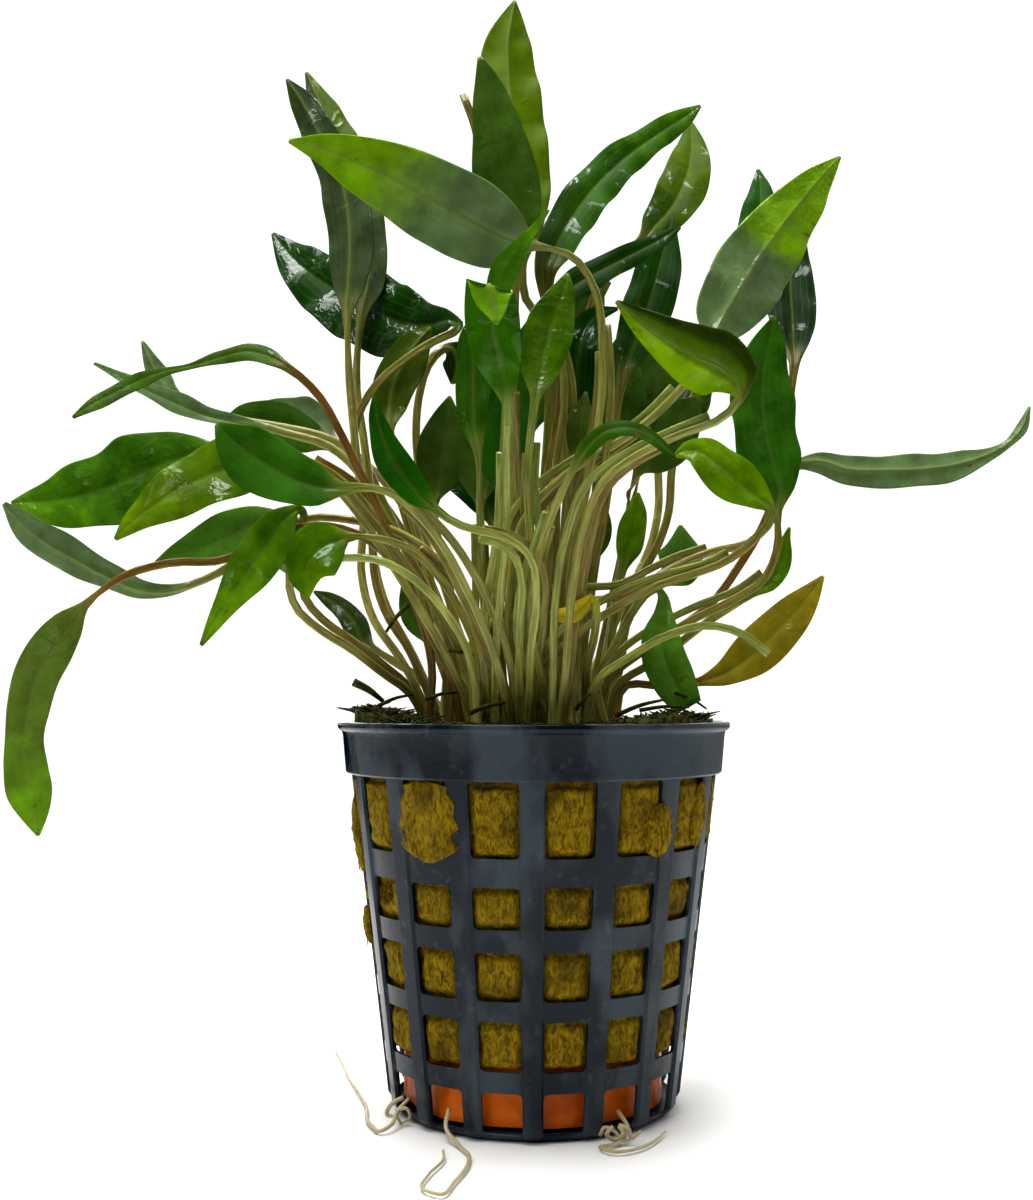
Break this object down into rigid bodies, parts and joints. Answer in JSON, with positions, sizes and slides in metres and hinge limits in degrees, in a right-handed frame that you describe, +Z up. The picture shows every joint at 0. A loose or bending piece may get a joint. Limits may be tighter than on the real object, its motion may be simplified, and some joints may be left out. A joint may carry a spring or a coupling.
{
  "type": "potted cryptocoryne",
  "caption": "Bushy aquarium plant with slender stalks and spear-shaped leaves, rooted in mineral wool inside a tapered net pot that stands on its base.",
  "frame": {"origin": "centre of the underside of the net pot's floor", "axes": "+Z up along the pot's axis, -Y towards the side shown in the picture, +X to the right as seen from there"},
  "size_m": [0.1498, 0.0962, 0.1642],
  "materials": {
    "leaf_bright": "satin",
    "leaf_fresh": "satin",
    "leaf_deep": "satin",
    "leaf_dark": "satin",
    "leaf_grey": "satin",
    "leaf_olive": "satin",
    "leaf_ochre": "satin",
    "cut_stalk": "satin",
    "pot": "satin",
    "rock_wool": "matte",
    "strip": "satin",
    "moss": "matte",
    "root": "matte"
  },
  "bodies": {
    "root": {"leaf_arching_grey": "leaf_grey", "leaf_arching_right": "leaf_fresh", "leaf_back_left": "leaf_dark", "leaf_back_right": "leaf_dark", "leaf_behind_centre": "leaf_dark", "leaf_behind_grey_right": "leaf_deep", "leaf_beside_centre": "leaf_fresh", "leaf_blue_left": "leaf_grey", "leaf_blue_left_back": "leaf_grey", "leaf_bright_left": "leaf_bright", "leaf_bright_right": "leaf_bright", "leaf_broad_left": "leaf_fresh", "leaf_broad_right": "leaf_deep", "leaf_brown_centre": "leaf_olive", "leaf_centre_bright": "leaf_bright", "leaf_centre_folded": "leaf_fresh", "leaf_dark_front_left": "leaf_deep", "leaf_dark_left": "leaf_deep", "leaf_dark_right": "leaf_deep", "leaf_drooping": "leaf_fresh", "leaf_edge_left": "leaf_fresh", "leaf_far_right_back": "leaf_dark", "leaf_folded_right": "leaf_bright", "leaf_glossy_top": "leaf_deep", "leaf_grey_lower_left": "leaf_grey", "leaf_grey_right": "leaf_grey", "leaf_hanging_right": "leaf_bright", "leaf_in_pot_right": "leaf_deep", "leaf_long_right": "leaf_grey", "leaf_low_bright": "leaf_bright", "leaf_old_yellow": "leaf_ochre", "leaf_olive_left": "leaf_olive", "leaf_olive_lower_left": "leaf_deep", "leaf_pale_stalk": "leaf_grey", "leaf_pointed_lower_left": "leaf_bright", "leaf_round_dark": "leaf_dark", "leaf_round_left": "leaf_deep", "leaf_round_left_back": "leaf_grey", "leaf_short_lower_left": "leaf_bright", "leaf_slim_front_left": "leaf_deep", "leaf_slim_right": "leaf_bright", "leaf_small_arch": "leaf_fresh", "leaf_small_dark_left": "leaf_dark", "leaf_small_right": "leaf_dark", "leaf_small_top": "leaf_fresh", "leaf_tall_left": "leaf_grey", "leaf_tall_left_back": "leaf_grey", "leaf_tallest": "leaf_bright", "leaf_triangle_right": "leaf_deep", "leaf_upright_right": "leaf_deep", "leaf_yellow_right": "leaf_ochre", "moss_litter": "moss", "net_pot": "pot", "orange_strip": "strip", "rock_wool": "rock_wool", "root_coil": "root", "root_left": "root", "root_loop": "root", "stalk_cut_right": "cut_stalk", "stalk_cut_top": "cut_stalk"}
  },
  "joints": []
}
